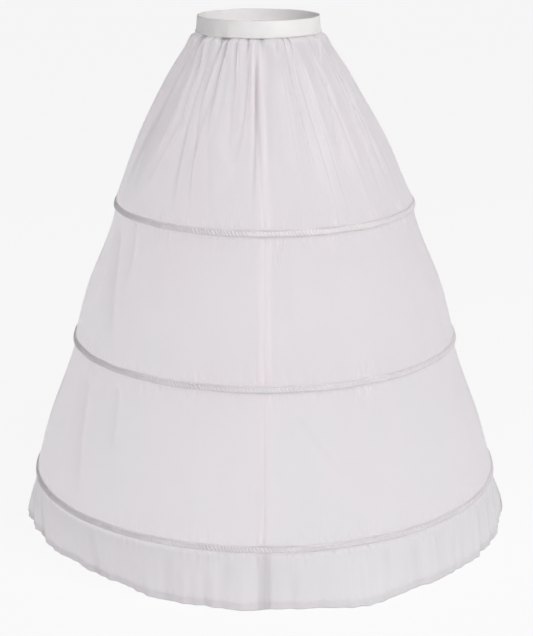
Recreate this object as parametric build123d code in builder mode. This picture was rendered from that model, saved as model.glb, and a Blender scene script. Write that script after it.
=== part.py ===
"""Crinoline cage: a gathered four-gore petticoat held out by three steel hoops.

Millimetres. +Z is up, the floor is Z = 0 and the middle of the skirt is the Z axis.
The centre front faces -Y. Left and right are the wearer's: left lies toward +X.
"""

import os
from math import cos, degrees, radians, sin

from build123d import *

# ---- waist -------------------------------------------------------------------------
waist_radius = 97.0         # outside of the elastic waistband
waistband_height = 26.0
waistband_thickness = 1.6
waist_height = 806.0        # lower edge of the waistband above the floor
gather_tuck = 8.0           # gathered cloth sewn up behind the waistband

# ---- hoops: height of the middle of each casing and its outside radius ------------------
top_hoop_height = 537.0
top_hoop_radius = 240.0
middle_hoop_height = 319.0
middle_hoop_radius = 311.0
bottom_hoop_height = 96.0
bottom_hoop_radius = 380.0

# ---- cloth ------------------------------------------------------------------------------
hem_radius = 390.0          # outside of the skirt at the floor
cloth_thickness = 1.0
hem_fold = 12.0             # height of the hem turned up inside
hip_fullness = 9.0          # how far the gathered top tier puffs out past a straight cone
gore_count = 4

# ---- hoop strip, joining sleeve and casing -----------------------------------------------
strip_height = 7.0
strip_thickness = 1.6
strip_end_gap = 2.0         # between the two ends of a strip, inside its sleeve
sleeve_length = 40.0
sleeve_wall = 0.4
sleeve_clearance = 0.1      # sleeve to strip, all round
channel_clearance = 0.15    # sleeve to casing and to cloth
casing_thickness = 0.7
casing_seam = 2.2           # flat margin sewn down above and below the channel
casing_round = 0.6          # rounding of the channel's outer corners
join_angle = 90.0           # the sleeves sit at the centre back

# ---- derived section of a hoop, measured outward from the cloth and up from its middle --------
sleeve_height = strip_height + 2 * (sleeve_clearance + sleeve_wall)
sleeve_depth = strip_thickness + 2 * (sleeve_clearance + sleeve_wall)
channel_height = sleeve_height + 2 * channel_clearance
channel_depth = sleeve_depth + 2 * channel_clearance
casing_height = channel_height + 2 * casing_seam
casing_depth = channel_depth + casing_thickness
strip_offset = channel_clearance + sleeve_wall + sleeve_clearance

HOOPS = {
    "top": (top_hoop_radius, top_hoop_height),
    "middle": (middle_hoop_radius, middle_hoop_height),
    "bottom": (bottom_hoop_radius, bottom_hoop_height),
}


def radial_plane(angle):
    """Upright plane through the Z axis: local X runs outward, local Y runs up."""
    a = radians(angle)
    return Plane(origin=(0, 0, 0), x_dir=(cos(a), sin(a), 0), z_dir=(sin(a), -cos(a), 0))


def save(part, label):
    part.label = label
    export_step(part, f"parts/{label}.step")


def cloth_profile(inset):
    """Outside of the cloth from its top edge to the floor, drawn inset inward.

    The cloth runs plumb behind the waistband and behind each casing."""
    radius = waist_radius - waistband_thickness - inset
    waist = (radius, waist_height)
    Line((radius, waist_height + gather_tuck), waist)
    previous = waist
    for hoop_radius, hoop_height in HOOPS.values():
        land = hoop_radius - casing_depth - inset
        upper = (land, hoop_height + casing_height / 2)
        lower = (land, hoop_height - casing_height / 2)
        if previous == waist:
            chord = Vector(upper[0] - waist[0], upper[1] - waist[1])
            outward = Vector(-chord.Y, chord.X).normalized() * hip_fullness
            middle = (Vector(*waist) + Vector(*upper)) / 2 + outward
            ThreePointArc(waist, (middle.X, middle.Y), upper)
        else:
            Line(previous, upper)
        Line(upper, lower)
        previous = lower
    return previous


def make_gore(label, start):
    """One skirt gore, from the waist to the hem, between two upright seams."""
    outer_foot = (hem_radius, 0)
    inner_foot = (hem_radius - 2 * cloth_thickness, 0)
    with BuildPart() as gore:
        with BuildSketch(radial_plane(start)):
            with BuildLine():
                top = waist_height + gather_tuck
                outer_top = waist_radius - waistband_thickness
                last_outer = cloth_profile(0)
                Line(last_outer, outer_foot)
                last_inner = cloth_profile(cloth_thickness)
                Line((outer_top, top), (outer_top - cloth_thickness, top))
                rise = hem_fold / last_inner[1]
                fold_radius = hem_radius - cloth_thickness + rise * (
                    last_inner[0] - hem_radius + cloth_thickness
                )
                fold_in = (fold_radius - cloth_thickness, hem_fold)
                Line(last_inner, (fold_radius, hem_fold))
                Line((fold_radius, hem_fold), fold_in)
                Line(fold_in, inner_foot)
                Line(inner_foot, outer_foot)
            make_face()
        revolve(axis=Axis.Z, revolution_arc=360 / gore_count)
    save(gore.part, label)


def make_waistband():
    """Loop of woven elastic."""
    with BuildPart() as waistband:
        with BuildSketch(Plane.XY.offset(waist_height)):
            Circle(waist_radius)
            Circle(waist_radius - waistband_thickness, mode=Mode.SUBTRACT)
        extrude(amount=waistband_height)
    save(waistband.part, "waistband")


def make_casing(label, radius, height):
    """Tape sewn flat above and below the hoop, with the channel standing out between."""
    cloth = radius - casing_depth
    with BuildPart() as casing:
        with BuildSketch(radial_plane(0)) as section:
            with Locations((cloth, height)):
                Rectangle(casing_thickness, casing_height, align=(Align.MIN, Align.CENTER))
                Rectangle(
                    casing_depth,
                    channel_height + 2 * casing_thickness,
                    align=(Align.MIN, Align.CENTER),
                )
            fillet(section.vertices().group_by(Axis.X)[-1], casing_round)
            with Locations((cloth, height)):
                Rectangle(
                    channel_depth,
                    channel_height,
                    align=(Align.MIN, Align.CENTER),
                    mode=Mode.SUBTRACT,
                )
        revolve(axis=Axis.Z)
    save(casing.part, label)


def make_strip(label, radius, height):
    """Flat strip bent to a hoop, its two ends a short gap apart."""
    inside = radius - casing_depth + strip_offset
    gap = degrees(strip_end_gap / inside)
    with BuildPart() as strip:
        with BuildSketch(radial_plane(join_angle + gap / 2)):
            with Locations((inside, height)):
                Rectangle(strip_thickness, strip_height, align=(Align.MIN, Align.CENTER))
        revolve(axis=Axis.Z, revolution_arc=360 - gap)
    save(strip.part, label)


def make_sleeve(label, radius, height):
    """Flat tube over both ends of the strip."""
    inside = radius - casing_depth + channel_clearance
    arc = degrees(sleeve_length / inside)
    with BuildPart() as sleeve:
        with BuildSketch(radial_plane(join_angle - arc / 2)):
            with Locations((inside, height)):
                Rectangle(sleeve_depth, sleeve_height, align=(Align.MIN, Align.CENTER))
            with Locations((inside + sleeve_wall, height)):
                Rectangle(
                    strip_thickness + 2 * sleeve_clearance,
                    strip_height + 2 * sleeve_clearance,
                    align=(Align.MIN, Align.CENTER),
                    mode=Mode.SUBTRACT,
                )
        revolve(axis=Axis.Z, revolution_arc=arc)
    save(sleeve.part, label)


os.makedirs("parts", exist_ok=True)
make_waistband()
for label, start in (
    ("gore_front_right", 180),
    ("gore_front_left", 270),
    ("gore_back_left", 0),
    ("gore_back_right", 90),
):
    make_gore(label, start)
for place, (radius, height) in HOOPS.items():
    make_casing(f"casing_{place}", radius, height)
    make_strip(f"hoop_{place}", radius, height)
    make_sleeve(f"sleeve_{place}", radius, height)
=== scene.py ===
"""Looks of the crinoline cage: cloth, waistband, hoop casings, threads, materials, light and camera.

Metres, in the frame of the CAD part: +Z up, the floor at Z = 0, the centre front toward -Y.
An azimuth of 0 degrees is the centre front and grows toward +X, the wearer's left.
"""

from math import pi, radians

import bpy
import numpy as np
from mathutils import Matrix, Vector


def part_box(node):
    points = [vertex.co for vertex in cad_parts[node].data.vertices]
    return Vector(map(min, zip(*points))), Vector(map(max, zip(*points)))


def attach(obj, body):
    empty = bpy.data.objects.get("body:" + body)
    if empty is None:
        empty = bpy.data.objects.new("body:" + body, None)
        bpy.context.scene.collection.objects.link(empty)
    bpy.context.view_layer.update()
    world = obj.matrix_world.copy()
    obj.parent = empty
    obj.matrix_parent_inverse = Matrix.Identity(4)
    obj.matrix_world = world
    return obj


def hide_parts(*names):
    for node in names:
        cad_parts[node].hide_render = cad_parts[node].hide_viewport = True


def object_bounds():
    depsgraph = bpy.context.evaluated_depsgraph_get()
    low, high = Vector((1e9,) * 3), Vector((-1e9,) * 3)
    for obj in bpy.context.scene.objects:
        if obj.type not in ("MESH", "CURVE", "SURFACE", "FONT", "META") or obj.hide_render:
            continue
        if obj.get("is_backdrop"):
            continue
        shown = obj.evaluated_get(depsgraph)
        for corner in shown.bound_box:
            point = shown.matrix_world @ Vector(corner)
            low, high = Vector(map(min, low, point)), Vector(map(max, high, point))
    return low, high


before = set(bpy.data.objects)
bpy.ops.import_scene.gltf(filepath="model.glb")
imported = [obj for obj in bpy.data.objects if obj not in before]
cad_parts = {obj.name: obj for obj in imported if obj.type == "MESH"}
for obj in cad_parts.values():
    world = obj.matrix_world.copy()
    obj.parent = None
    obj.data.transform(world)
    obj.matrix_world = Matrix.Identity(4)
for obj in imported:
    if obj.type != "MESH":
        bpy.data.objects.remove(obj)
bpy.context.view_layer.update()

MM = 0.001

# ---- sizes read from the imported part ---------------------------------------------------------
band_low, band_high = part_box("waistband")
WAIST_RADIUS = band_high.x
WAIST_Z = band_low.z
BAND_TOP = band_high.z
HEM_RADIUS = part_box("gore_front_left")[1].x
HOOPS = []          # (name, casing's outer radius, height of its middle, half its height), top first
for place in ("top", "middle", "bottom"):
    low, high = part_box("casing_" + place)
    HOOPS.append((place, high.x, (low.z + high.z) / 2, (high.z - low.z) / 2))

BAND_THICKNESS = 1.6 * MM
CASING_DEPTH = 3.6 * MM
TUCK = 8 * MM
HEM_FOLD = 12 * MM
SEAM_ALLOWANCE = 10 * MM
PUCKER_PITCH = 10 * MM      # about how far apart the puckers along a casing are
BAND_GAP = 0.2 * MM         # between the band and the cloth tucked up behind it
HEM_GAP = 0.6 * MM          # between the floor and the hem, before the hem waves
HEM_STEP = 0.9 * MM         # from the outer face in to the turned-up hem
ALLOWANCE_STEP = 0.7 * MM   # from the outer face in to the seam allowances
LEAN = -9.5 * MM            # how far the waist stands toward +X of the hoops
PUFF = {1: 10.5, 2: 3.0, 3: 3.0, 4: 1.5}    # mm that each tier swells outward midway
SAG = {1: 0, 2: 3.5, 3: 2.5, 4: 0}          # mm that each tier hollows above and swells below its middle


# ---- small maths -----------------------------------------------------------------------------
def smooth(edge0, edge1, x):
    """0 below edge0 and 1 above edge1, with a soft step between."""
    t = np.clip((x - edge0) / (edge1 - edge0), 0, 1)
    return t * t * (3 - 2 * t)


def ripple(azimuth, low, high, seed, v=0.0, drift=0.0, count=22):
    """Noise of low to high waves round the skirt, about 1 high, that changes slowly with v."""
    rng = np.random.default_rng(seed)
    total = 0
    for _ in range(count):
        n = rng.integers(low, high + 1)
        phase, slide, size = rng.uniform(0, 2 * pi), rng.normal(0, 1), rng.uniform(0.5, 1)
        total = total + size * np.cos(n * azimuth + phase + drift * slide * v)
    return total / np.sqrt(count * 0.29)


def groove(azimuth, z, radius, points, depth, width):
    """A crease that follows points of (azimuth in degrees, height in mm), deepest midway.

    width is half the crease's width in mm at its top and at its bottom."""
    heights = [p[1] * MM for p in points]
    course = np.interp(z, heights[::-1], [radians(p[0]) for p in points][::-1])
    along = (heights[0] - z) / (heights[0] - heights[-1])
    reach = smooth(-0.12, 0.08, along) * (1 - smooth(0.6, 1.12, along))
    half = (width[0] + (width[1] - width[0]) * np.clip(along, 0, 1)) * MM
    across = np.abs((azimuth - course + pi) % (2 * pi) - pi) * radius / half
    return -depth * MM * reach * (np.exp(-(across**1.5)) - 0.35 * np.exp(-((across - 1.7) ** 2)))


# ---- creases and waves -----------------------------------------------------------------------
# Each crease is its (azimuth, height) points, its depth and its half widths, in degrees and mm. Most
# points are places of the real skirt's folds, worked out with a fitted camera and rounded, and part
# of those were then moved. The other points, the depths and the widths were chosen one by one.
FRONT_CREASES = [
    ([(-53, 806), (-47, 765), (-45, 680), (-50, 626), (-58, 570)], 9, (3.2, 11)),
    ([(-28, 806), (-28, 740), (-31, 670), (-33, 585)], 8, (2.6, 11)),
    ([(-19, 806), (-15, 742), (-15, 640)], 6, (2.0, 12)),
    ([(-1, 806), (-2, 767), (-1, 666), (0, 580)], 3.5, (2.4, 12)),
    ([(15, 806), (14, 780)], 4, (1.6, 3)),
    ([(60, 806), (49, 761), (43, 700), (39, 633), (42, 560)], 4, (1.6, 6)),
    ([(75, 800), (66, 732), (60, 680), (62, 590)], 4, (1.6, 7)),
    ([(16, 760), (16, 690), (16, 600)], 2.5, (3, 6)),
    ([(-66, 806), (-65, 765), (-68, 690)], 5, (1.6, 8)),
    ([(-69, 500), (-60, 430), (-50, 345)], 8, (14, 18)),
    ([(-57, 530), (-54, 480), (-52, 430)], 4.5, (9, 12)),
    ([(3, 531), (5, 482)], 2, (3, 4)),
    ([(7, 531), (5, 495)], 1.5, (2, 3)),
    ([(-62, 280), (-57, 200), (-50, 110)], 9, (16, 19)),
    ([(-46, 290), (-42, 170)], 6, (14, 17)),
    ([(9, 280), (15, 230), (20, 180)], 0.9, (11, 15)),
]

# Waves of the flounce: (azimuth in degrees, how far out in mm, half width in degrees).
FLOUNCE_WAVES = [
    (-88, 9, 9), (-72, -9, 12), (-54, -20, 11), (-40, -18, 9), (-26, -13, 12), (-7, 2, 6), (5, -9, 8),
    (29, 4, 8), (52, -4, 8), (92, 15, 10), (140, -8, 14), (178, 6, 10), (-140, 7, 12), (-165, -8, 10),
]


# ---- skirt surface ---------------------------------------------------------------------------
def tier_rows(count, dense_top=1.5, dense_bottom=1.5):
    """Fractions from 0 to 1, closer together toward both ends."""
    t = np.linspace(0, 1, count)
    a = t**dense_top
    b = 1 - (1 - t) ** dense_bottom
    return a * (1 - t) + b * t


def skirt_rows():
    """(tier, fraction down the tier) of each row from the top edge to the turned-up hem.

    Tier 0 is tucked behind the band, 1 hangs from it, 2 to 4 hang from the hoops, the halves lie
    behind the casings, and 5 is the hem folded up inside."""
    rows = [(0, v) for v in (0.0, 0.5)]
    rows += [(1, v) for v in tier_rows(88)]
    for tier, count in ((2, 52), (3, 54)):
        rows += [(tier - 0.5, v) for v in (0.25, 0.5, 0.75)]
        rows += [(tier, v) for v in tier_rows(count)]
    rows += [(3.5, v) for v in (0.25, 0.5, 0.75)]
    rows += [(4, v) for v in tier_rows(34, 1.5, 1.2)]
    rows += [(5, v) for v in (0.2, 0.5, 0.8, 1.0)]
    return rows


ROWS = skirt_rows()
TIER = np.array([r[0] for r in ROWS])[:, None]
DOWN = np.array([r[1] for r in ROWS])[:, None]


def base_profile():
    """Radius and height of each row before any fold."""
    inner = WAIST_RADIUS - BAND_THICKNESS - BAND_GAP
    lands = [(radius - CASING_DEPTH, z, half) for _, radius, z, half in HOOPS]
    r, z = np.zeros_like(TIER), np.zeros_like(TIER)
    stops = [(inner, WAIST_Z)]
    for land, height, half in lands:
        stops += [(land, height + half), (land, height - half)]
    stops.append((HEM_RADIUS, HEM_GAP))
    for i, tier in enumerate(TIER[:, 0]):
        v = DOWN[i, 0]
        if tier == 0:
            r[i], z[i] = inner, WAIST_Z + TUCK * (1 - v)
        elif tier in (1, 2, 3, 4):
            (r0, z0), (r1, z1) = stops[2 * int(tier) - 2], stops[2 * int(tier) - 1]
            r[i], z[i] = r0 + (r1 - r0) * v, z0 + (z1 - z0) * v
            puff = PUFF[tier] * MM * 4 * v * (1 - v)
            sag = -SAG[tier] * MM * np.sin(2 * pi * v) * (1 - 0.2 * v)
            r[i] += puff + sag
        elif tier in (1.5, 2.5, 3.5):
            (r0, z0), (r1, z1) = stops[int(2 * (tier - 0.5)) - 1], stops[int(2 * (tier - 0.5))]
            r[i], z[i] = r0, z0 + (z1 - z0) * v
        else:
            r[i], z[i] = HEM_RADIUS - HEM_STEP, HEM_GAP + HEM_FOLD * v
    return r, z


BASE_R, BASE_Z = base_profile()


def gathers(a, v):
    """Rounded pleats with narrow valleys at the band that merge and fade down the top tier."""
    top = TIER == 1
    pleat = np.abs(np.sin(15 * a + 1.3 * ripple(a, 4, 11, 11, v, 0.8) + 0.35 * ripple(a, 16, 30, 15, v, 1.0)))
    deep = 0.7 + 0.3 * ripple(a, 9, 21, 16)
    pleats = (pleat**0.8 - 0.8) * deep * (4.5 + 2.5 * smooth(0, 0.05, v)) * np.exp(-((v / 0.2) ** 1.3))
    course = 12 * a + 1.6 * ripple(a, 5, 13, 12, v, 1.3)
    merged = np.sqrt(np.sin(course) ** 2 + 0.02) - 0.7
    loose = ripple(a, 12, 27, 13, v, 1.2)
    grow = smooth(0.03, 0.25, v) * (1 - smooth(0.6, 1.03, v))
    drape = grow * (4.8 * merged * (0.8 + 0.4 * ripple(a, 7, 15, 17)) + 2.7 * loose)
    pinch = ripple(a, 90, 150, 14, v, 0.6) * np.exp(-v / 0.028)
    swell = 8.0 * smooth(0, 0.028, v) * np.exp(-v / 0.13)
    out = np.where(top, (pleats + drape + 0.5 * pinch + swell) * MM, 0)
    # painted shade: the cloth is made darker, and lets less light through, in the pleat valleys, just under
    # the band and along the merged folds
    valleys = 2.3 * (1 - smooth(0.05, 0.5, pleat)) * np.clip(deep, 0.3, 1.1) * np.exp(-v / 0.055)
    ply_and_shade = np.where(top, valleys, 0)
    ply_and_shade += np.where(top, 0.5 * np.exp(-v / 0.012), 0)
    ply_and_shade += np.where(top, 0.75 * grow * (1 - smooth(0.0, 0.5, np.abs(np.sin(course)))), 0)
    return out, ply_and_shade


def unevenness(a, v):
    """Broad soft waves of the two smooth tiers."""
    calm = ((TIER == 2) | (TIER == 3)) * (4 * v * (1 - v))
    soft = 1.4 * ripple(a, 5, 12, 21, v + TIER, 1.5) + 0.7 * ripple(a, 18, 40, 22, v + TIER, 2.0)
    return calm * soft * MM


def puckers(a, k, radius, height, half):
    """Short puckers where the cloth meets casing k, above it and below it."""
    above = np.clip(BASE_Z - (height + half), 0, None)
    below = np.clip((height - half) - BASE_Z, 0, None)
    count = 2 * pi * radius / PUCKER_PITCH
    patch = smooth(-0.6, 1.2, ripple(a, 7, 20, 31 + k))
    pucker = ripple(a, int(count * 0.6), int(count * 1.3), 41 + k, BASE_Z * 30, 0.5)
    up = (BASE_Z >= height + half) * np.exp(-above / 0.011) * (above > 0)
    down = (BASE_Z <= height - half) * np.exp(-below / 0.013) * (below > 0)
    near = up * smooth(0, 0.004, above) + down * smooth(0, 0.004, below)
    return 0.95 * MM * pucker * (0.4 + patch) * near


def flounce(a):
    """Broad waves that open toward the floor, with narrow upright ones between."""
    loose = (TIER == 4) | (TIER == 5)
    v = np.where(TIER == 5, 1 - 0.12 * DOWN, DOWN)
    sway = 2.4 * ripple(a, 10, 22, 51, v, 0.6)
    for degrees, stand, spread in FLOUNCE_WAVES:
        off = (a - radians(degrees) + pi) % (2 * pi) - pi
        sway = sway + stand * np.exp(-((off / radians(spread)) ** 2))
    narrow = ripple(a, 26, 50, 52, v, 0.8) * smooth(-1.2, 1.0, ripple(a, 5, 13, 55))
    crisp = narrow + 0.3 * ripple(a, 70, 120, 54, v, 0.5)
    out = np.where(loose, (smooth(0.0, 1.1, v) * sway + 1.9 * smooth(0.02, 0.7, v) * crisp) * MM, 0)
    # painted shade: the flounce and the turned-up hem are made darker, and let less light through, more so in
    # the narrow hollows; only at the hem is the cloth really doubled
    hollows = 0.35 * smooth(0.0, 0.3, v) * np.clip(-narrow - 0.2, 0, 1)
    return out, np.where(loose, 0.75 * smooth(0.0, 0.1, v) + hollows, 0)


def hem_line(a):
    """The dip along the line where the hem is sewn down."""
    stitched = np.exp(-(((BASE_Z - HEM_FOLD) / 0.005) ** 2)) * (TIER == 4)
    return stitched * (0.35 * ripple(a, 180, 300, 53) - 0.35) * MM


def folds(a):
    """How far the cloth stands out from its base profile, and its ply and painted shade.

    This second value is 0 where the cloth is single and more where it lies over itself, and it also
    carries painted shade in the pleat valleys, just under the band, along the merged folds and over
    the flounce. It moves no point: the material is darker there and lets less light through."""
    v = np.where(TIER == 5, 1.0, DOWN)
    out, ply_and_shade = gathers(a, v)
    out += unevenness(a, v)
    for k, (_, radius, height, half) in enumerate(HOOPS):
        out += puckers(a, k, radius, height, half)
    wave, wave_shade_and_ply = flounce(a)
    out += wave
    out += hem_line(a)
    return out, ply_and_shade + wave_shade_and_ply


def lean(z):
    """How far the cloth stands toward +X at height z: nothing at the top hoop, all of it at the waist."""
    t = np.clip((z - HOOPS[0][2]) / (WAIST_Z - HOOPS[0][2]), 0, 1)
    return LEAN * t * (2 - t)


def skirt_points(a, drop=0.0):
    """Points of the cloth's outer face at azimuths a (1 x columns), and its ply and painted shade from 0 to
    2.

    With a drop the points lie that many metres nearer the axis."""
    a = np.atleast_2d(a)
    out, ply_and_shade = folds(a)
    radius = BASE_R + out
    z = BASE_Z + 0 * a
    inside = (TIER == np.round(TIER)) & (TIER < 5) & (TIER > 0)
    reach = np.where(inside, smooth(0, 0.03, DOWN) * (1 - smooth(0.93, 1.0, DOWN)), 0)
    # painted shade: the cloth is made darker, and lets less light through, along each crease, most in the top
    # tier near the band
    crease_shade_share = np.where(TIER == 1, 0.9 * np.exp(-DOWN / 0.5), 0.25)
    for points, depth, width in FRONT_CREASES:
        cut = groove(a, z, BASE_R, points, depth, width) * reach
        radius += cut
        ply_and_shade += crease_shade_share * np.clip(-cut / (depth * MM) - 0.35, 0, 1)
    # upright seams: a narrow dip, with a low ridge on the side where the azimuth grows
    quarter = (a + pi / 4) % (pi / 2) - pi / 4
    across = quarter * BASE_R
    seam = -0.25 * np.exp(-((across / 0.0013) ** 2)) + 0.15 * np.exp(-(((across - 0.0032) / 0.0022) ** 2))
    tug = 1 + 0.35 * np.sin(BASE_Z / 0.0085) * np.sin(BASE_Z / 0.031)
    radius += seam * tug * MM * (TIER == np.round(TIER)) * (TIER > 0) * (0.45 + 0.55 * (TIER > 1))
    # the seam allowances lie behind as a real second layer; the narrow dark line along the seam's dip is
    # painted shade
    ply_and_shade += (0.18 * np.exp(-((across / 0.0012) ** 2)) + 0.03 * (np.abs(across) < SEAM_ALLOWANCE)) * (TIER > 0)
    # the hem's edge is not quite level, and stays off the floor
    lift = smooth(0.0, 1.0, np.where(TIER == 5, 1.0, DOWN)) * (TIER >= 4)
    z = np.maximum(z + lift * 1.6 * MM * (1.4 + ripple(a, 6, 16, 61)), 0.4 * MM)
    # the waist sits a little to the wearer's right of the hoops
    x = (radius - drop) * np.sin(a) + lean(BASE_Z)
    y = -(radius - drop) * np.cos(a)
    return np.stack([x, y, z], -1), np.clip(ply_and_shade, 0, 2)


# ---- meshes ----------------------------------------------------------------------------------
def grid_object(name, points, weave, ring=False, solid=False, cuts=()):
    """A sheet through a grid of points (rows x columns x 3), with weave coordinates in metres.

    A ring's last column joins its first; a solid's last row joins its first as well.
    No face is made between column c and the next for c in cuts, where a crease is pressed sharp."""
    rows, columns = points.shape[:2]
    index = np.arange(rows * columns).reshape(rows, columns)
    if ring:
        index = np.concatenate([index, index[:, :1]], axis=1)
        weave = np.concatenate([weave, 2 * weave[:, -1:] - weave[:, -2:-1]], axis=1)
    if solid:
        index, weave = (np.concatenate([grid, grid[:1]], axis=0) for grid in (index, weave))
    corners = [
        np.delete(np.stack([g[:-1, :-1], g[1:, :-1], g[1:, 1:], g[:-1, 1:]], 2), list(cuts), axis=1)
        for g in (index, weave)
    ]
    quads, weave = corners[0].reshape(-1, 4), corners[1].reshape(-1, 2)
    mesh = bpy.data.meshes.new(name)
    mesh.vertices.add(rows * columns)
    mesh.vertices.foreach_set("co", points.reshape(-1).astype(np.float32))
    mesh.loops.add(quads.size)
    mesh.loops.foreach_set("vertex_index", quads.reshape(-1).astype(np.int32))
    mesh.polygons.add(len(quads))
    mesh.polygons.foreach_set("loop_start", (np.arange(len(quads)) * 4).astype(np.int32))
    mesh.update(calc_edges=True)
    layer = mesh.uv_layers.new(name="weave")
    layer.data.foreach_set("uv", weave.reshape(-1).astype(np.float32))
    mesh.shade_smooth()
    mesh.validate()
    made = bpy.data.objects.new(name, mesh)
    bpy.context.scene.collection.objects.link(made)
    return made


def lengths(points):
    """Distance down each column from its first point to each of its points."""
    step = np.linalg.norm(np.diff(points, axis=0), axis=-1)
    return np.concatenate([np.zeros_like(step[:1]), np.cumsum(step, axis=0)])


WEAVE_WIDTH = 0.5           # metres that the weave counts across a gore
TURN_RADIUS = 0.12          # no seam allowance turns through more than its width at this radius


def gore(name, start, columns):
    """A quarter of the skirt with its seam allowances pressed back inside."""
    span = pi / 2
    a = start + span * np.linspace(0, 1, columns)[None, :]
    main, main_ply_and_shade = skirt_points(a)
    shares = np.array([[1.0, 0.5, 0.0]])
    turn = SEAM_ALLOWANCE / np.maximum(BASE_R, TURN_RADIUS)
    first, first_ply_and_shade = skirt_points(start + shares * turn, ALLOWANCE_STEP)
    last, last_ply_and_shade = skirt_points(start + span - shares[:, ::-1] * turn, ALLOWANCE_STEP)
    first[:, 2:], last[:, :1] = main[:, :1], main[:, -1:]
    points = np.concatenate([first, main, last], axis=1)
    ply_and_shade = np.concatenate([first_ply_and_shade + 0.3, main_ply_and_shade, last_ply_and_shade + 0.3], axis=1)
    edges = SEAM_ALLOWANCE * np.array([-1, -0.5, 0])
    across = np.concatenate([edges, np.linspace(0, WEAVE_WIDTH, columns), WEAVE_WIDTH - edges[::-1]])
    weave = np.stack([across[None, :] + 0 * points[..., 0], lengths(points)], -1)
    made = grid_object(name, points, weave, cuts=(2, columns + 2))
    layer = made.data.attributes.new("ply_and_shade", "FLOAT", "POINT")
    layer.data.foreach_set("value", ply_and_shade.reshape(-1).astype(np.float32))
    return made


# each gore's name, the azimuth of its first edge and its columns, closer together in front
GORES = (
    ("gore_front_right", -pi / 2, 300),
    ("gore_front_left", 0.0, 300),
    ("gore_back_left", pi / 2, 200),
    ("gore_back_right", pi, 200),
)

# ---- casings ---------------------------------------------------------------------------------
# a casing's section from its top edge down: (out from the cloth, up from the hoop's middle) in mm
CASING_SECTION = [
    (0.15, 5.8), (0.8, 5.4), (1.7, 5.0), (2.7, 4.5), (3.2, 3.8), (3.5, 2.9), (3.8, 2.0), (4.1, 0.9),
    (4.4, -0.3), (4.6, -1.5), (4.6, -2.6), (4.2, -3.5), (3.2, -4.1), (1.5, -4.4), (0.7, -4.7),
    (1.0, -5.3), (0.8, -5.9), (0.15, -6.2),
]


CASING_COLUMN = 1.05 * MM
TWIST_PITCH = 5.2 * MM
CASING_SEEDS = {"top": 71, "middle": 72, "bottom": 73}


def casing(place, radius, height):
    """A satin tape over one hoop, with slanting ribs where it is drawn round."""
    land = radius - CASING_DEPTH
    count = int(2 * pi * land / CASING_COLUMN)
    a = (np.arange(count) / count * 2 * pi)[None, :]
    out = np.array([p[0] for p in CASING_SECTION])[:, None] * MM
    up = np.array([p[1] for p in CASING_SECTION])[:, None] * MM
    ridges = round(2 * pi * land / TWIST_PITCH)
    seed = CASING_SEEDS[place]
    patch = 0.6 + 0.4 * smooth(-0.8, 0.8, ripple(a, 5, 14, seed))
    uneven = 0.9 * ripple(a, 30, 60, seed + 10)
    twist = np.sin(ridges * a + uneven + up / 0.0011)
    face = smooth(0.4 * MM, 3.0 * MM, out)
    out = out + 0.75 * MM * twist * patch * face
    shoulder = np.exp(-(((up - 4.0 * MM) / 0.0014) ** 2))
    out = out + 0.35 * MM * shoulder * np.sin(ridges * a + uneven + 1.0) * patch
    out = out + 0.25 * MM * ripple(a, 9, 24, seed + 20) * face
    up = up + 0.25 * MM * ripple(a, 12, 30, seed + 30) + 0 * a
    r = land + out
    points = np.stack([r * np.sin(a), -r * np.cos(a), height + up], -1)
    weave = np.stack([a * land + 0 * up, up + 0 * a], -1)
    return grid_object("casing_tape_" + place, points, weave, ring=True)


# ---- waistband -------------------------------------------------------------------------------
BAND_COLUMNS = 420
BAND_OUTER_ROWS, BAND_INNER_ROWS = 64, 40


def waistband():
    """Woven elastic: ribbed both sides, a selvedge at both edges and a seam ridge low down."""
    a = (np.arange(BAND_COLUMNS) / BAND_COLUMNS * 2 * pi)[None, :]
    tall = BAND_TOP - WAIST_Z
    up = np.concatenate([np.linspace(0, 1, BAND_OUTER_ROWS), np.linspace(1, 0, BAND_INNER_ROWS)])[:, None]
    outside = (np.arange(BAND_OUTER_ROWS + BAND_INNER_ROWS) < BAND_OUTER_ROWS)[:, None]
    rib = np.abs(np.sin(pi * up * 15)) * smooth(0.0, 0.1, up) * (1 - smooth(0.92, 1.0, up))
    ridge = np.exp(-(((up - 0.06) / 0.035) ** 2)) * (1 + 0.25 * np.sin(170 * a))
    edge = np.minimum(smooth(0, 0.03, up), smooth(0, 0.03, 1 - up))
    half = BAND_THICKNESS / 2 * (0.55 + 0.45 * edge)
    skin = half + 0.10 * MM * rib + np.where(outside, 0.7 * MM * ridge, 0)
    middle = WAIST_RADIUS - BAND_THICKNESS / 2 + (1.1 - 2.3 * up) * MM
    ease = 0.3 * MM * ripple(a, 2, 5, 81) + 0.2 * MM * ripple(a, 14, 30, 82) * (1 - up)
    r = middle + ease + np.where(outside, skin, -half - 0.10 * MM * rib)
    z = WAIST_Z + tall * up + 0.12 * MM * ripple(a, 3, 8, 83)
    x = r * np.sin(a) + lean(z)
    points = np.stack([x, -r * np.cos(a), z], -1)
    weave = np.stack([a * WAIST_RADIUS + 0 * up, tall * up + 0 * a], -1)
    return grid_object("waistband_elastic", points, weave, ring=True, solid=True)


# ---- threads ---------------------------------------------------------------------------------
CASING_STITCH = 3.1 * MM    # pitch of the stitches along a casing's edges
WAIST_STITCH = 1.8 * MM     # pitch of the zigzag along the waistband
STITCH_SHARE = 0.82         # a stitch's length over the pitch of its row


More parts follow.
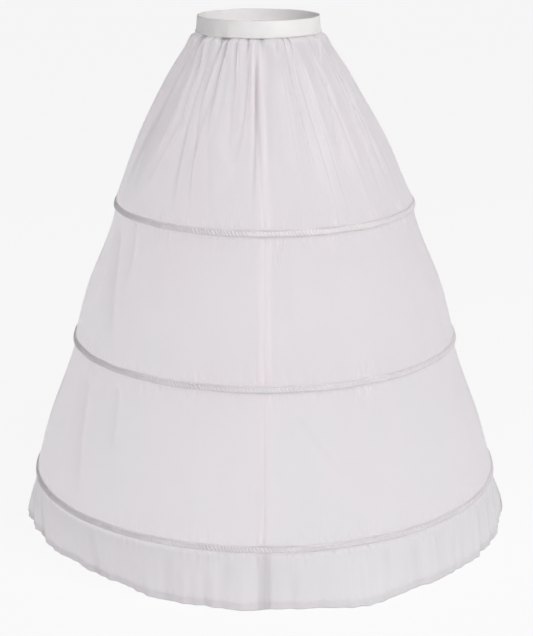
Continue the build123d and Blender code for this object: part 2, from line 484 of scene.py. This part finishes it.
def stitches(name, centre, normal, along, length, thick=0.28 * MM):
    """One mesh of short threads: each is a slim eight-faced spindle lying on the cloth."""
    side = np.cross(normal, along)
    ends = along * length / 2
    ring = [side * thick, normal * thick * 1.1, -side * thick, -normal * thick * 0.4]
    points = [centre - ends, centre + ends] + [centre + q for q in ring]
    points = np.stack(points, 1)
    base = np.arange(len(centre))[:, None] * 6
    faces = []
    for k in range(4):
        a, b = 2 + k, 2 + (k + 1) % 4
        faces += [np.array([0, b, a]), np.array([1, a, b])]
    faces = (base[:, :, None] + np.array(faces)[None]).reshape(-1, 3)
    mesh = bpy.data.meshes.new(name)
    mesh.from_pydata(points.reshape(-1, 3).tolist(), [], faces.tolist())
    mesh.shade_smooth()
    made = bpy.data.objects.new(name, mesh)
    bpy.context.scene.collection.objects.link(made)
    return made


def ring_stitches(name, rows, pitch, slant=0.0, shift=0.0):
    """Rows of stitches round the skirt, each row a (radius, height), shifted toward +X.

    With a slant, in radians, every other stitch leans the other way."""
    centres, normals, alongs = [], [], []
    for radius, height in rows:
        count = int(2 * pi * radius / pitch)
        a = np.arange(count) / count * 2 * pi
        out = np.stack([np.sin(a), -np.cos(a), 0 * a], -1)
        way = np.stack([np.cos(a), np.sin(a), 0 * a], -1)
        turn = slant * np.where(np.arange(count) % 2, 1, -1)[:, None]
        alongs.append(way * np.cos(turn) + np.array([0, 0, 1.0]) * np.sin(turn))
        normals.append(out)
        centre = out * radius + np.array([0, 0, height])
        centre[:, 0] += shift
        centres.append(centre)
    centres, normals, alongs = (np.concatenate(each) for each in (centres, normals, alongs))
    return stitches(name, centres, normals, alongs, pitch * STITCH_SHARE)


# ---- materials -------------------------------------------------------------------------------
class Nodes:
    """A node material built link by link.

    In add, p_name sets a property, iN an input by its number, and any other name an input by name."""

    def __init__(self, name):
        self.material = bpy.data.materials.new(name)
        self.material.use_nodes = True
        self.tree = self.material.node_tree
        self.tree.nodes.clear()
        self.output = self.tree.nodes.new("ShaderNodeOutputMaterial")

    def add(self, kind, **inputs):
        node = self.tree.nodes.new("ShaderNode" + kind)
        for key, value in inputs.items():
            if key.startswith("p_"):
                setattr(node, key[2:], value)
        for key, value in inputs.items():
            if not key.startswith("p_"):
                numbered = key[0] == "i" and key[1:].isdigit()
                socket = node.inputs[int(key[1:]) if numbered else key.replace("_", " ")]
                if isinstance(value, bpy.types.NodeSocket):
                    self.tree.links.new(value, socket)
                else:
                    socket.default_value = value
        return node

    def finish(self, shader):
        self.tree.links.new(shader, self.output.inputs["Surface"])
        return self.material


WAVE_PERIOD = 0.31416       # metres from band to band of a wave texture whose scale is 1


def threads_height(n, vector, across_pitch, along_pitch):
    """Height of a plain weave whose threads run along both weave coordinates."""
    across, along = WAVE_PERIOD / across_pitch, WAVE_PERIOD / along_pitch
    warp = n.add("TexWave", p_bands_direction="X", Vector=vector, Scale=across, Distortion=0.0)
    weft = n.add("TexWave", p_bands_direction="Y", Vector=vector, Scale=along, Distortion=0.0)
    return n.add("Math", p_operation="MULTIPLY", i0=warp.outputs["Fac"], i1=weft.outputs["Fac"]).outputs[0]


def streaks(n, weave, fine, coarse):
    """Noise that changes fast round the skirt and slowly down it, so that it is drawn out downward."""
    place = n.add("Mapping", Vector=weave, Scale=(fine, coarse, 1.0))
    return n.add("TexNoise", Vector=place.outputs[0], Scale=1.0, Detail=2.0).outputs["Fac"]


def tint(n, vector, scale, first, second):
    """A colour that drifts between two in soft patches."""
    noise = n.add("TexNoise", Vector=vector, Scale=scale, Detail=3.0, Roughness=0.55)
    ramp = n.add("MapRange", i0=noise.outputs["Fac"], i1=0.35, i2=0.65, i3=0.0, i4=1.0)
    mix = n.add("Mix", p_data_type="RGBA", i0=ramp.outputs[0], i6=first, i7=second)
    return mix.outputs[2]


def cloth_material():
    """Thin pale lining that lets light through, darker and less so where the cloth is doubled and where shade
    is painted in.
    """
    n = Nodes("lining_cloth")
    place = n.add("TexCoord").outputs["Object"]
    weave = n.add("UVMap", p_uv_map="weave").outputs["UV"]
    colour = tint(n, place, 7.0, (0.985, 0.95, 0.975, 1), (0.98, 0.963, 0.98, 1))
    slub = streaks(n, weave, 900.0, 40.0)
    darker = n.add("MapRange", i0=slub, i1=0.3, i2=0.7, i3=0.992, i4=1.0)
    multiply = {"p_data_type": "RGBA", "p_blend_type": "MULTIPLY", "i0": 1.0}
    shade = n.add("Mix", i6=colour, i7=darker.outputs[0], **multiply)
    # painted shade: this attribute darkens the colour and cuts the light let through in creases, pleat
    # valleys, under the band and over the flounce, as well as where the cloth is doubled
    ply_and_shade = n.add("Attribute", p_attribute_name="ply_and_shade").outputs["Fac"]
    dim = n.add("MapRange", i0=ply_and_shade, i1=0.0, i2=2.0, i3=1.0, i4=0.6)
    shade = n.add("Mix", i6=shade.outputs[2], i7=dim.outputs[0], **multiply)
    pass_through = n.add("MapRange", i0=ply_and_shade, i1=0.0, i2=2.0, i3=0.77, i4=0.1)
    height = threads_height(n, weave, 0.00045, 0.00045)
    bump = n.add("Bump", Strength=0.14, Distance=0.00006, Height=height)
    crush = n.add("TexNoise", Vector=place, Scale=60.0, Detail=4.0)
    bump2 = n.add("Bump", Strength=0.06, Distance=0.0008, Height=crush.outputs["Fac"], Normal=bump.outputs[0])
    rough = n.add("MapRange", i0=crush.outputs["Fac"], i1=0.3, i2=0.7, i3=0.48, i4=0.6)
    front = n.add(
        "BsdfPrincipled", Base_Color=shade.outputs[2], Roughness=rough.outputs[0], Normal=bump2.outputs[0],
        IOR=1.45, Sheen_Weight=0.25, Sheen_Roughness=0.45,
    )
    back = n.add("BsdfTranslucent", Color=shade.outputs[2], Normal=bump2.outputs[0])
    both = n.add("MixShader", i0=pass_through.outputs[0], i1=front.outputs[0], i2=back.outputs[0])
    return n.finish(both.outputs[0])


def tape_material():
    """Satin tape, grey over its face as painted shade, paler along both edges, where it lets light through.
    """
    n = Nodes("satin_tape")
    weave = n.add("UVMap", p_uv_map="weave").outputs["UV"]
    place = n.add("TexCoord").outputs["Object"]
    # painted shade: the tape's face is grey to stand in for the shaded strip under each hoop; its edges are
    # near white
    colour = tint(n, place, 25.0, (0.60, 0.57, 0.59, 1), (0.66, 0.635, 0.65, 1))
    up = n.add("SeparateXYZ", Vector=weave).outputs["Y"]
    top = n.add("MapRange", p_interpolation_type="SMOOTHSTEP", i0=up, i1=0.0034, i2=0.0044, i3=0.0, i4=1.0)
    foot = n.add("MapRange", p_interpolation_type="SMOOTHSTEP", i0=up, i1=-0.0040, i2=-0.0048, i3=0.0, i4=1.0)
    edge = n.add("Math", p_operation="MAXIMUM", i0=top.outputs[0], i1=foot.outputs[0]).outputs[0]
    colour = n.add("Mix", p_data_type="RGBA", i0=edge, i6=colour, i7=(0.92, 0.885, 0.91, 1)).outputs[2]
    grain = streaks(n, weave, 2500.0, 250.0)
    bump = n.add("Bump", Strength=0.3, Distance=0.0001, Height=grain)
    rough = n.add("MapRange", i0=grain, i1=0.3, i2=0.7, i3=0.3, i4=0.42)
    shader = n.add(
        "BsdfPrincipled", Base_Color=colour, Roughness=rough.outputs[0], Normal=bump.outputs[0],
        IOR=1.55, Sheen_Weight=0.1, Sheen_Roughness=0.4,
    )
    thin = n.add("BsdfTranslucent", Color=(0.97, 0.94, 0.96, 1), Normal=bump.outputs[0])
    share = n.add("Math", p_operation="MULTIPLY", i0=edge, i1=0.7).outputs[0]
    both = n.add("MixShader", i0=share, i1=shader.outputs[0], i2=thin.outputs[0])
    return n.finish(both.outputs[0])


def elastic_material():
    """Matt woven elastic."""
    n = Nodes("woven_elastic")
    weave = n.add("UVMap", p_uv_map="weave").outputs["UV"]
    place = n.add("TexCoord").outputs["Object"]
    colour = tint(n, place, 30.0, (0.67, 0.65, 0.655, 1), (0.70, 0.68, 0.68, 1))
    height = threads_height(n, weave, 0.0009, 0.00085)
    bump = n.add("Bump", Strength=0.5, Distance=0.00018, Height=height)
    shader = n.add(
        "BsdfPrincipled", Base_Color=colour, Roughness=0.62, Normal=bump.outputs[0],
        IOR=1.45, Sheen_Weight=0.2, Sheen_Roughness=0.5,
    )
    return n.finish(shader.outputs[0])


def plain_material(name, first, second, rough, scale=40.0, metallic=0.0, coat=0.0):
    """Thread, coating or metal: two near colours and a fine unevenness."""
    n = Nodes(name)
    place = n.add("TexCoord").outputs["Object"]
    colour = tint(n, place, scale, first, second)
    noise = n.add("TexNoise", Vector=place, Scale=scale * 8, Detail=3.0)
    bump = n.add("Bump", Strength=0.1, Distance=0.0001, Height=noise.outputs["Fac"])
    spread = n.add("MapRange", i0=noise.outputs["Fac"], i1=0.3, i2=0.7, i3=rough * 0.85, i4=rough * 1.15)
    shader = n.add(
        "BsdfPrincipled", Base_Color=colour, Roughness=spread.outputs[0], Normal=bump.outputs[0],
        Metallic=metallic, Coat_Weight=coat, IOR=1.5,
    )
    return n.finish(shader.outputs[0])


CLOTH = cloth_material()
TAPE = tape_material()
ELASTIC = elastic_material()
THREAD = plain_material("sewing_thread", (0.82, 0.80, 0.79, 1), (0.88, 0.86, 0.85, 1), 0.6, 300.0)
COATING = plain_material("white_coating", (0.86, 0.86, 0.84, 1), (0.90, 0.90, 0.88, 1), 0.3, coat=0.2)
STEEL = plain_material("crimped_steel", (0.55, 0.55, 0.56, 1), (0.62, 0.62, 0.62, 1), 0.35, metallic=1.0)

# ---- put the pieces together -----------------------------------------------------------------
for name, start, columns in GORES:
    piece = gore("cloth_" + name, start, columns)
    piece.data.materials.append(CLOTH)
    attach(piece, "root")
    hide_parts(name)

for place, radius, height, _ in HOOPS:
    tape = casing(place, radius, height)
    tape.data.materials.append(TAPE)
    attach(tape, "root")
    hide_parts("casing_" + place)
    land = radius - CASING_DEPTH
    rows = [(land + 0.9 * MM, height + 5.6 * MM), (land + 1.1 * MM, height - 5.6 * MM)]
    thread = ring_stitches("stitches_casing_" + place, rows, CASING_STITCH)
    thread.data.materials.append(THREAD)
    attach(thread, "root")
    for node in ("hoop_" + place, "sleeve_" + place):
        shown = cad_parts[node]
        shown.data.materials.clear()
        shown.data.materials.append(COATING if node.startswith("hoop") else STEEL)

band = waistband()
band.data.materials.append(ELASTIC)
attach(band, "root")
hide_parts("waistband")
rows = [(WAIST_RADIUS + 1.9 * MM, WAIST_Z + 2.0 * MM)]
zigzag = ring_stitches("stitches_waist", rows, WAIST_STITCH, radians(52), LEAN)
zigzag.data.materials.append(THREAD)
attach(zigzag, "root")

# ---- floor, light and camera -----------------------------------------------------------------
FLOOR_HALF = 30.0
# painted shadow: the floor gives off less light within the ring from SHADE_INNER to SHADE_OUTER, under the
# skirt
SHADE_INNER, SHADE_OUTER = 0.325, 0.358     # the floor is dimmer within this ring, under the skirt
GLOW_UNDER, GLOW_OPEN = 0.66, 0.9


def floor():
    """A dark floor that looks pale because it gives off light, and less of it under the skirt, as a painted
    shadow.
    """
    mesh = bpy.data.meshes.new("floor")
    s = FLOOR_HALF
    mesh.from_pydata([(-s, -s, 0), (s, -s, 0), (s, s, 0), (-s, s, 0)], [], [(0, 1, 2, 3)])
    made = bpy.data.objects.new("floor", mesh)
    bpy.context.scene.collection.objects.link(made)
    n = Nodes("pale_floor")
    place = n.add("TexCoord").outputs["Object"]
    grain = n.add("TexNoise", Vector=place, Scale=3.0, Detail=2.0)
    shade = n.add("MapRange", i0=grain.outputs["Fac"], i1=0.3, i2=0.7, i3=0.06, i4=0.065)
    away = n.add("VectorMath", p_operation="LENGTH", i0=place).outputs["Value"]
    glow = n.add(
        "MapRange", p_interpolation_type="SMOOTHSTEP", i0=away, i1=SHADE_INNER, i2=SHADE_OUTER,
        i3=GLOW_UNDER, i4=GLOW_OPEN,
    )
    shader = n.add("BsdfPrincipled", Base_Color=shade.outputs[0], Roughness=0.9, IOR=1.2)
    shader.inputs["Emission Color"].default_value = (1, 1, 1, 1)
    n.tree.links.new(glow.outputs[0], shader.inputs["Emission Strength"])
    mesh.materials.append(n.finish(shader.outputs[0]))
    made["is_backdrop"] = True


def softbox(name, place, target, width, height, power):
    """A rectangular light at a place that faces a target, with its power in watts."""
    data = bpy.data.lights.new(name, "AREA")
    data.shape = "RECTANGLE"
    data.size, data.size_y, data.energy = width, height, power
    made = bpy.data.objects.new(name, data)
    made.location = place
    made.rotation_mode = "QUATERNION"
    made.rotation_quaternion = (Vector(place) - Vector(target)).to_track_quat("Z", "Y")
    bpy.context.scene.collection.objects.link(made)


# the world is bright up to SKY_LOW, as the upward share of a direction, and dim from SKY_HIGH up
SKY_LOW, SKY_HIGH = 0.03, 0.16
SKY_BRIGHT, SKY_DIM = 0.88, 0.12


def studio():
    """A world that is bright at the horizon and dim overhead."""
    world = bpy.data.worlds.new("studio")
    world.use_nodes = True
    sky = world.node_tree
    height = sky.nodes.new("ShaderNodeSeparateXYZ")
    sky.links.new(sky.nodes.new("ShaderNodeTexCoord").outputs["Generated"], height.inputs[0])
    fade = sky.nodes.new("ShaderNodeMapRange")
    fade.interpolation_type = "SMOOTHSTEP"
    limits = (SKY_LOW, SKY_HIGH, SKY_BRIGHT, SKY_DIM)
    for socket, value in zip(("From Min", "From Max", "To Min", "To Max"), limits):
        fade.inputs[socket].default_value = value
    sky.links.new(height.outputs["Z"], fade.inputs["Value"])
    sky.links.new(fade.outputs[0], sky.nodes["Background"].inputs["Strength"])
    sky.nodes["Background"].inputs["Color"].default_value = (1.0, 0.985, 0.99, 1)
    bpy.context.scene.world = world


CAMERA_DISTANCE, CAMERA_HEIGHT, CAMERA_PITCH = 2.600, 1.095, 16.2
CAMERA_ASIDE = 0.003
FOCAL_IN_HEIGHTS = 2.594    # focal length over the picture's height
SENSOR_HEIGHT = 24.0


def front_camera():
    """A camera in front of the skirt that looks a little down."""
    data = bpy.data.cameras.new("camera")
    data.sensor_fit = "VERTICAL"
    data.sensor_height = SENSOR_HEIGHT
    data.lens = SENSOR_HEIGHT * FOCAL_IN_HEIGHTS
    data.clip_start, data.clip_end = 0.05, 100
    made = bpy.data.objects.new("camera", data)
    made.location = (CAMERA_ASIDE, -CAMERA_DISTANCE, CAMERA_HEIGHT)
    made.rotation_euler = (radians(90 - CAMERA_PITCH), 0, 0)
    bpy.context.scene.collection.objects.link(made)
    bpy.context.scene.camera = made


floor()
softbox("key", (2.0, -1.95, 2.6), (0, 0, 0.7), 1.9, 1.9, 60)
softbox("front", (-0.2, -4.6, 2.2), (0, 0, 0.4), 2.6, 2.2, 52)
softbox("above", (1.4, -1.2, 3.6), (0, 0, 0.3), 2.0, 2.0, 26)
softbox("left", (-2.7, -2.4, 2.1), (0, 0, 0.45), 1.8, 1.8, 15)
studio()
front_camera()
bpy.context.scene.view_settings.view_transform = "Standard"

low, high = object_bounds()
